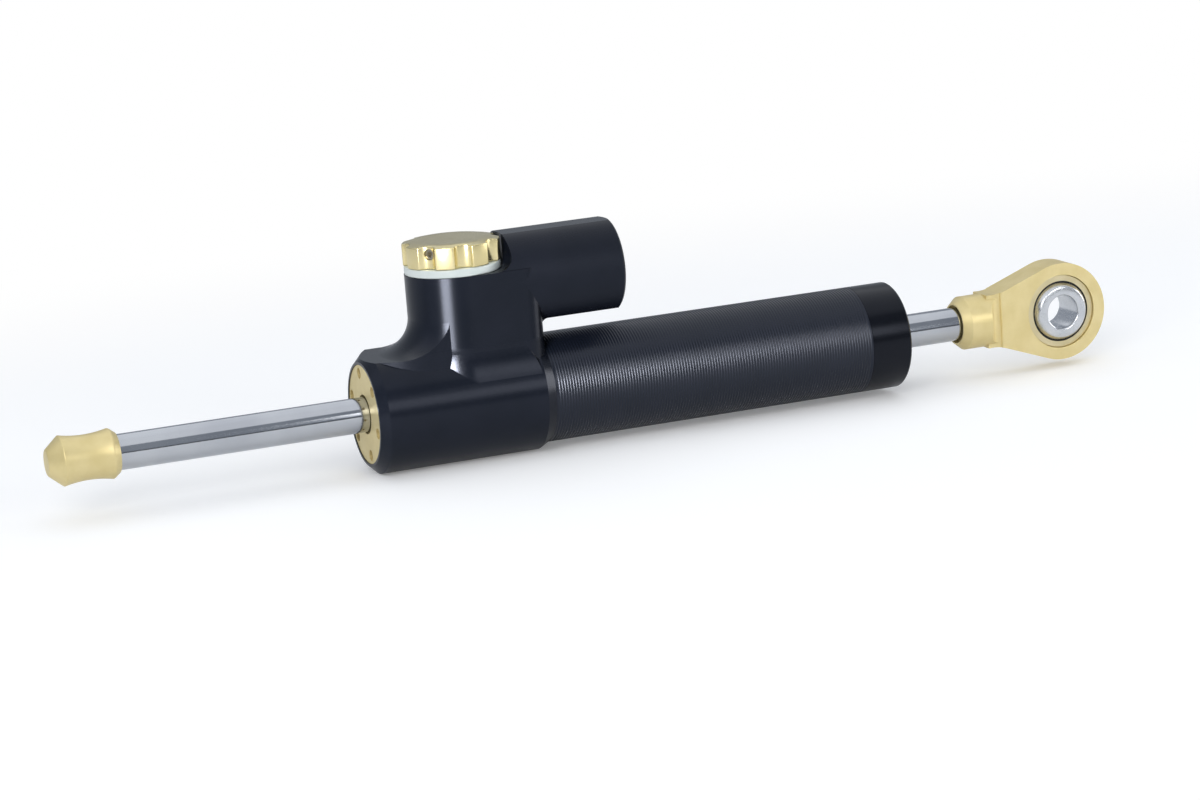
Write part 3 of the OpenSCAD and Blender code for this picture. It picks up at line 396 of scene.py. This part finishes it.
# Rod
rod = {"radius": 4, "edge": 0.3, "leftThread": 3, "rightThread": 3.5, "leftThreadLength": 9.6,
       "rightThreadLength": 6.6}
rodLeft, rodRight = lowOf("piston_rod", 0), highOf("piston_rod", 0)
rodLine = rounded([
    (rodLeft, 0),
    (rodLeft, rod["leftThread"]),
    (rodLeft + rod["leftThreadLength"], rod["leftThread"]),
    (rodLeft + rod["leftThreadLength"], rod["radius"], rod["edge"]),
    (rodRight - rod["rightThreadLength"], rod["radius"], rod["edge"]),
    (rodRight - rod["rightThreadLength"], rod["rightThread"]),
    (rodRight, rod["rightThread"]),
    (rodRight, 0)], loop=False)
rodPiece = turnedPiece("polished_rod", rodLine, xAxis, origin, loop=False)
standIn(rodPiece, "piston_rod", "hardChrome")

# Bumper cap
bumper = {"noseRadius": 2.9, "noseSoft": 0.7, "noseLength": 3.2, "rimRadius": 5.65, "rimLength": 1,
          "rimFall": 0.22, "leftRimSoft": 0.3, "rightRimSoft": 0.6, "waistRadius": 5.0, "waistSteps": 24,
          "waistGap": 0.05, "tailLength": 1.5, "tailRadius": 4.45, "tailSoft": 0.15,
          "boreRadius": 4.05, "counterDepth": 1, "threadRadius": 3.05, "threadGap": 0.05}


# The waist lies between the two rims: the rim radius less the sag times (1 - t squared),
# with t from -1 to 1 along it.
def bumperProfile(values):
    left, right = lowOf("bumper_cap", 0), highOf("bumper_cap", 0)
    rimA, rimB = left + values["noseLength"], right - values["tailLength"]
    rim, rimLow = values["rimRadius"], values["rimRadius"] - values["rimFall"]
    nose = rounded([(left, 0), (left, values["noseRadius"], values["noseSoft"]),
                    (rimA, rim, values["leftRimSoft"]),
                    (rimA + values["rimLength"], rimLow)], loop=False)[:-1]
    share = np.linspace(-1, 1, values["waistSteps"])[1:-1]
    waist = np.stack([(rimA + rimB) / 2 + share * (rimB - rimA) / 2,
                      rim - (rim - values["waistRadius"]) * (1 - share ** 2)], axis=1)
    threadEnd = rodLeft - values["threadGap"]
    tail = rounded([(rimB - values["rimLength"], rimLow), (rimB, rim, values["rightRimSoft"]),
                    (right, values["tailRadius"], values["tailSoft"]), (right, values["boreRadius"]),
                    (right - values["counterDepth"], values["boreRadius"]),
                    (right - values["counterDepth"], values["threadRadius"]),
                    (threadEnd, values["threadRadius"]), (threadEnd, 0)], loop=False)[1:]
    waistLeft, waistRight = nose[-1, 0] + values["waistGap"], tail[0, 0] - values["waistGap"]
    inside = (waist[:, 0] > waistLeft) & (waist[:, 0] < waistRight)
    return np.concatenate([nose, waist[inside], tail])


bumperPiece = turnedPiece("bumper", bumperProfile(bumper), xAxis, origin, loop=False)
standIn(bumperPiece, "bumper_cap", "goldAnodisedAluminium")

# Index ring under the knob
ring = {"soft": 0.3, "bore": 7.55}
ringLow, ringHigh, ringRadius = lowOf("index_ring", 2), highOf("index_ring", 2), highOf("index_ring", 1)
ringLoop = rounded([
    (ringLow, ring["bore"]),
    (ringLow, ringRadius, ring["soft"]),
    (ringHigh, ringRadius, ring["soft"]),
    (ringHigh, ring["bore"])])
ringPiece = turnedPiece("pale_ring", ringLoop, zAxis, (towerX, 0, 0))
standIn(ringPiece, "index_ring", "whiteAcetal")

# Adjuster knob, and the hole of its screw
knob = {"radius": 11, "lobes": 8, "hollowRadius": 2.4, "hollowDepth": 1.5, "crownDrop": 0.45,
        "crownWidth": 2.4, "corner": 0.3, "edge": 0.2, "hollowSteps": 20, "cornerSteps": 6,
        "lobeSteps": 14, "edgeSteps": 7, "flatSteps": 6, "slopeShares": (0.3, 0.6, 0.9),
        "spindleHole": 3.05, "trackIn": 4.3, "trackOut": 6.9, "trackDepth": 0.6, "coverDepth": 0.8,
        "screwTurn": 49, "screwRise": 3.3, "screwHole": 1.25, "holeDepth": 4.5, "holeOver": 2,
        "holeSteps": 48}


# Points of an arc and the directions that point out of the metal there. In a hollow those
# directions point at the arc's centre.
def arcLine(centre, radius, start, stop, steps, hollow=False):
    turn = np.linspace(start, stop, steps, endpoint=False)
    ray = np.stack([np.cos(turn), np.sin(turn)], axis=1)
    return np.array(centre) + radius * ray, -ray if hollow else ray


# Outline of the knob: hollow, rounded corner, lobe and rounded corner, once for each lobe.
# A corner's circle touches the knob's round from inside and the hollow's circle from
# outside, so that its centre follows from the law of cosines.
def knobOutline(values):
    radius, hollow, corner = values["radius"], values["hollowRadius"], values["corner"]
    far = radius - values["hollowDepth"] + hollow
    near = radius - corner
    apart = 2 * math.pi / values["lobes"]
    opening = math.acos((near ** 2 + far ** 2 - (hollow + corner) ** 2) / (2 * near * far))
    spot = near * np.array([math.cos(opening), math.sin(opening)])
    lean = math.atan2(spot[1], far - spot[0])
    other = near * np.array([math.cos(apart - opening), math.sin(apart - opening)])
    arcs = [arcLine((far, 0), hollow, math.pi + lean, math.pi - lean, values["hollowSteps"], True),
            arcLine(spot, corner, -lean, opening, values["cornerSteps"]),
            arcLine((0, 0), radius, opening, apart - opening, values["lobeSteps"]),
            arcLine(other, corner, apart - opening, apart + lean, values["cornerSteps"])]
    points, outward = (np.concatenate([arc[side] for arc in arcs]) for side in (0, 1))
    turns = apart * np.arange(values["lobes"]) + math.radians(-90 - values["screwTurn"])
    spin = np.stack([np.cos(turns), -np.sin(turns), np.sin(turns), np.cos(turns)], axis=1).reshape(-1, 2, 2)
    return [np.concatenate([line @ turned.T for turned in spin]) for line in (points, outward)]


# Rings of the knob from the top's centre down its side and in along the underside. The top
# is flat up to the crown's radius and falls evenly from there to the rim. The edges are
# quarter rounds: the outline drawn in by edge * (1 - sin t), the height changed by
# edge * (1 - cos t). The underside's rings are plain circles.
def knobRings(values, low, high):
    points, outward = knobOutline(values)
    circle = points / np.linalg.norm(points, axis=1)[:, None]
    edge = values["edge"]
    quarter = np.linspace(0, math.pi / 2, values["edgeSteps"])
    flatRadius = values["radius"] - values["crownWidth"]
    slope = values["crownDrop"] / values["crownWidth"]
    flat, rim = circle * flatRadius, points - outward * edge
    rings = [flat * share for share in np.linspace(0, 1, values["flatSteps"])]
    rings += [flat + (rim - flat) * share for share in values["slopeShares"]]
    heights = [high] * len(rings)
    rings += [points - outward * edge * (1 - math.sin(turn)) for turn in quarter]
    heights += [high - edge * (1 - math.cos(turn)) for turn in quarter]
    sloped = len(rings)
    rings += [points - outward * edge * (1 - math.cos(turn)) for turn in quarter]
    heights += [low + edge * (1 - math.sin(turn)) for turn in quarter]
    cover = high - values["coverDepth"]
    for radius, height in [(values["trackOut"], low), (values["trackOut"], low + values["trackDepth"]),
                           (values["trackIn"], low + values["trackDepth"]), (values["trackIn"], low),
                           (values["spindleHole"], low), (values["spindleHole"], cover), (0, cover)]:
        rings.append(circle * radius)
        heights.append(height)
    rings = np.array(rings)
    heights = np.array(heights)[:, None] * np.ones(rings.shape[:2])
    heights[:sloped] -= slope * np.maximum(np.linalg.norm(rings[:sloped], axis=2) - flatRadius, 0)
    return np.concatenate([rings + np.array([towerX, 0]), heights[:, :, None]], axis=2)


# Cuts a round hole into a piece with a plain turned plug
def drill(piece, start, way, radius, depth, steps):
    profile = np.array([[0, 0], [0, radius], [depth, radius], [depth, 0]])
    plug = turnedPiece("drill", profile, way, start, steps, loop=False)
    cut = piece.modifiers.new("hole", "BOOLEAN")
    cut.operation, cut.solver, cut.object = "DIFFERENCE", "EXACT", plug
    graph = bpy.context.evaluated_depsgraph_get()
    mesh = bpy.data.meshes.new_from_object(piece.evaluated_get(graph))
    piece.modifiers.clear()
    piece.data = mesh
    bpy.data.objects.remove(plug)
    shadeSmooth(mesh)


knobLow, knobHigh = lowOf("adjuster_knob", 2), highOf("adjuster_knob", 2)
knobPoints = knobRings(knob, knobLow, knobHigh)
knobFaces = gridFaces(*knobPoints.shape[:2], loop=False)
knobPiece = finishPiece("lobed_knob", knobPoints.reshape(-1, 3), knobFaces)
screwAngle = math.radians(-90 - knob["screwTurn"])
screwWay = Vector((math.cos(screwAngle), math.sin(screwAngle), 0))
screwLevel = Vector((towerX, 0, knobLow + knob["screwRise"]))
holeStart = screwLevel + screwWay * (knob["radius"] - knob["holeDepth"])
drill(knobPiece, holeStart, screwWay, knob["screwHole"], knob["holeDepth"] + knob["holeOver"],
      knob["holeSteps"])
standIn(knobPiece, "adjuster_knob", "goldTurnedAluminium")

# Spherical bearing
bearing = {"ballRadius": 7.75, "ballHalf": 4.8, "bore": 4, "boreSoft": 0.45, "edgeWidth": 0.1,
           "edgeDrop": 0.12, "raceRadius": 8.8, "raceHalf": 3.4, "raceIn": 8.1, "raceSoft": 0.2,
           "arcSteps": 28}


# Ball: an arc of its sphere that ends short of the two faces, a small edge to each face,
# then the bore with rounded edges
def ballProfile(values):
    half, bore, soft = values["ballHalf"], values["bore"], values["boreSoft"]
    faceOut = math.sqrt(values["ballRadius"] ** 2 - half ** 2)
    reach = math.asin((half - values["edgeWidth"]) / values["ballRadius"])
    tilt = np.linspace(-1, 1, values["arcSteps"]) * reach
    arc = values["ballRadius"] * np.stack([np.sin(tilt), np.cos(tilt)], axis=1)
    corners = rounded([(half, faceOut), (half, bore, soft), (-half, bore, soft), (-half, faceOut)],
                      loop=False)
    corners[[0, -1], 1] -= values["edgeDrop"]
    return np.concatenate([arc, corners])


# Race: the sphere's hollow inside, plain outside
def raceProfile(values):
    half, soft = values["raceHalf"], values["raceSoft"]
    tilt = np.linspace(1, -1, values["arcSteps"]) * math.asin(half / values["raceIn"])
    arc = values["raceIn"] * np.stack([np.sin(tilt), np.cos(tilt)], axis=1)
    mouth = values["raceIn"] * math.cos(tilt[0])
    corners = rounded([(-half, mouth), (-half, values["raceRadius"], soft),
                       (half, values["raceRadius"], soft), (half, mouth)], loop=False)
    return np.concatenate([arc, corners[1:-1]])


eyeCentre = (eyeX, 0, 0)
ballPiece = turnedPiece("swivel_ball", ballProfile(bearing), yAxis, eyeCentre)
racePiece = turnedPiece("ball_race", raceProfile(bearing), yAxis, eyeCentre)
standIn(ballPiece, "bearing_ball", "bearingSteel")
standIn(racePiece, "bearing_race", "bearingBronze")
print("turned pieces made")

# Camera, as in the photograph: places in millimetres, angles in degrees, the clip in metres
view = {"aim": (-29.3, -12.6, -2.1), "distance": 760, "turn": 20.43, "tilt": 12.29, "roll": -4.31,
        "lens": 101.07, "sensor": 36, "clipEnd": 20}
camera = bpy.data.objects.new("camera", bpy.data.cameras.new("camera"))
camera.data.sensor_width = view["sensor"]
camera.data.lens = view["lens"]
camera.data.clip_end = view["clipEnd"]
facing = (Matrix.Rotation(math.radians(-view["turn"]), 4, "Z")
          @ Matrix.Rotation(math.radians(90 - view["tilt"]), 4, "X")
          @ Matrix.Rotation(math.radians(view["roll"]), 4, "Z"))
back = facing.to_3x3() @ zAxis
camera.matrix_world = Matrix.Translation(Vector(view["aim"]) * mm + back * view["distance"] * mm) @ facing
scene.collection.objects.link(camera)
scene.camera = camera

# Floor of matt paper. The camera sees it lifted a little, and as plain white away from the
# object: near and far are the distances in millimetres over which it fades to white, along
# the view. Along the object they are longer, by 1 / alongShare.
floorValues = {"size": 8000, "drop": 0.05, "shade": "#f2f2f2", "rough": 0.9, "specular": 0.1,
               "lift": 0.17, "near": 110, "far": 320, "alongShare": 0.6}
floorZ = min(lowOf(node, 2) for node in nodes) - floorValues["drop"]
half = floorValues["size"] / 2
floorPoints = [[-half, -half, floorZ], [half, -half, floorZ], [half, half, floorZ], [-half, half, floorZ]]
floor = finishPiece("floor", floorPoints, [[0, 1, 2, 3]])
if floor.data.polygons[0].normal.z < 0:
    floor.data.flip_normals()
paper = bpy.data.materials.new("matt white paper")
paper.use_nodes = True
tree = paper.node_tree
shader = tree.nodes["Principled BSDF"]
shader.inputs["Base Color"].default_value = colour(floorValues["shade"])
shader.inputs["Roughness"].default_value = floorValues["rough"]
shader.inputs["Specular IOR Level"].default_value = floorValues["specular"]
shader.inputs["Emission Color"].default_value = (1, 1, 1, 1)
seen = addNode(tree, "ShaderNodeLightPath").outputs["Is Camera Ray"]
lift = addNode(tree, "ShaderNodeMath", {1: floorValues["lift"]}, {0: seen}, operation="MULTIPLY")
tree.links.new(lift.outputs["Value"], shader.inputs["Emission Strength"])
place = addNode(tree, "ShaderNodeTexCoord").outputs["Object"]
flattened = addNode(tree, "ShaderNodeMapping", {"Scale": (floorValues["alongShare"], 1, 1)},
                    {"Vector": place})
away = addNode(tree, "ShaderNodeVectorMath", links={0: flattened.outputs["Vector"]}, operation="LENGTH")
fade = addNode(tree, "ShaderNodeMapRange",
               {"From Min": floorValues["near"] * mm, "From Max": floorValues["far"] * mm},
               {"Value": away.outputs["Value"]}, interpolation_type="SMOOTHSTEP")
faded = addNode(tree, "ShaderNodeMath", links={0: fade.outputs["Result"], 1: seen}, operation="MULTIPLY")
plain = addNode(tree, "ShaderNodeEmission", {"Color": (1, 1, 1, 1), "Strength": 1.0})
both = addNode(tree, "ShaderNodeMixShader", links={0: faded.outputs["Value"], 1: shader.outputs["BSDF"],
                                                   2: plain.outputs["Emission"]})
tree.links.new(both.outputs["Shader"], tree.nodes["Material Output"].inputs["Surface"])
floor.data.materials.append(paper)

# Room that the pieces reflect, a little blue: a ceiling over a dark side behind the camera, and
# a grey backdrop behind the object. The ceiling starts between two heights of the direction
# looked in, and the backdrop between two depths of it. The camera itself sees plain white.
room = {"ceiling": 0.36, "dark": 0.04, "backdrop": 0.42, "tint": (0.82, 0.89, 1.0, 1.0),
        "ceilingFrom": 0.04, "ceilingTo": 0.14, "backdropFrom": -0.15, "backdropTo": 0.35}
world = bpy.data.worlds.new("studio")
scene.world = world
world.use_nodes = True
sky = world.node_tree
sky.nodes.clear()
looked = addNode(sky, "ShaderNodeTexCoord").outputs["Generated"]
direction = addNode(sky, "ShaderNodeSeparateXYZ", links={"Vector": looked})
height = addNode(sky, "ShaderNodeMapRange",
                 {"From Min": room["ceilingFrom"], "From Max": room["ceilingTo"],
                  "To Min": room["dark"], "To Max": room["ceiling"]},
                 {"Value": direction.outputs["Z"]}, interpolation_type="SMOOTHSTEP")
behind = addNode(sky, "ShaderNodeMapRange",
                 {"From Min": room["backdropFrom"], "From Max": room["backdropTo"]},
                 {"Value": direction.outputs["Y"]}, interpolation_type="SMOOTHSTEP")
glow = addNode(sky, "ShaderNodeMix", {3: room["backdrop"]},
               {0: behind.outputs["Result"], 2: height.outputs["Result"]}, data_type="FLOAT")
seen = addNode(sky, "ShaderNodeLightPath").outputs["Is Camera Ray"]
white = addNode(sky, "ShaderNodeMix", {3: 1.0}, {0: seen, 2: glow.outputs[0]}, data_type="FLOAT")
tint = addNode(sky, "ShaderNodeMix", {6: room["tint"], 7: (1, 1, 1, 1)}, {0: seen}, data_type="RGBA")
background = addNode(sky, "ShaderNodeBackground",
                     links={"Color": tint.outputs[2], "Strength": white.outputs[0]})
addNode(sky, "ShaderNodeOutputWorld", links={"Surface": background.outputs["Background"]})

# Lamps, with places and sizes in millimetres. The boxes at the left and a fill at the right
# light only some pieces, so that these get their highlights and the floor isn't burnt out.
lamps = {
    "overheadBox": {"place": (-60, 60, 900), "aim": (-20, 0, 0), "size": (2400, 1800), "watts": 8.0},
    "leftFill": {"place": (-520, -700, 420), "aim": (-20, 0, 0), "size": (500, 420), "watts": 3.6},
    "knobSoftbox": {"place": (-586, -678, 150), "aim": (-57, 0, 20), "size": (260, 300), "watts": 8,
                    "only": ["lobed_knob", "knob_screw"]},
    "barrelSoftbox": {"place": (-586, -678, 150), "aim": (-57, 0, 20), "size": (260, 300), "watts": 38,
                      "only": ["barrel_grooved"]},
    "towerSoftbox": {"place": (-586, -678, 150), "aim": (-57, 0, 20), "size": (320, 300), "watts": 28,
                     "only": ["head_housing"]},
    "eyeFill": {"place": (330, -860, 330), "aim": (90, 0, 0), "size": (420, 260), "watts": 1.2,
                "only": ["rod_eye", "swivel_ball", "ball_race"]},
    "frontFill": {"place": (330, -860, 330), "aim": (20, 0, 0), "size": (420, 260), "watts": 0.9},
    "rightPanel": {"place": (900, -240, 170), "aim": (-40, 0, 0), "size": (420, 360), "watts": 2.4},
}
for name, values in lamps.items():
    lamp = bpy.data.lights.new(name, "AREA")
    lamp.shape = "RECTANGLE"
    lamp.size, lamp.size_y = values["size"][0] * mm, values["size"][1] * mm
    lamp.energy = values["watts"]
    stand = bpy.data.objects.new(name, lamp)
    gaze = Vector(values["aim"]) - Vector(values["place"])
    aimed = gaze.to_track_quat("-Z", "Y").to_matrix().to_4x4()
    stand.matrix_world = Matrix.Translation(Vector(values["place"]) * mm) @ aimed
    scene.collection.objects.link(stand)
    if "only" in values:
        lit = bpy.data.collections.new(name)
        for piece in values["only"]:
            lit.objects.link(bpy.data.objects[piece])
        stand.light_linking.receiver_collection = lit
scene.view_settings.view_transform = "Standard"
print("camera, floor and", len(lamps), "lamps set")
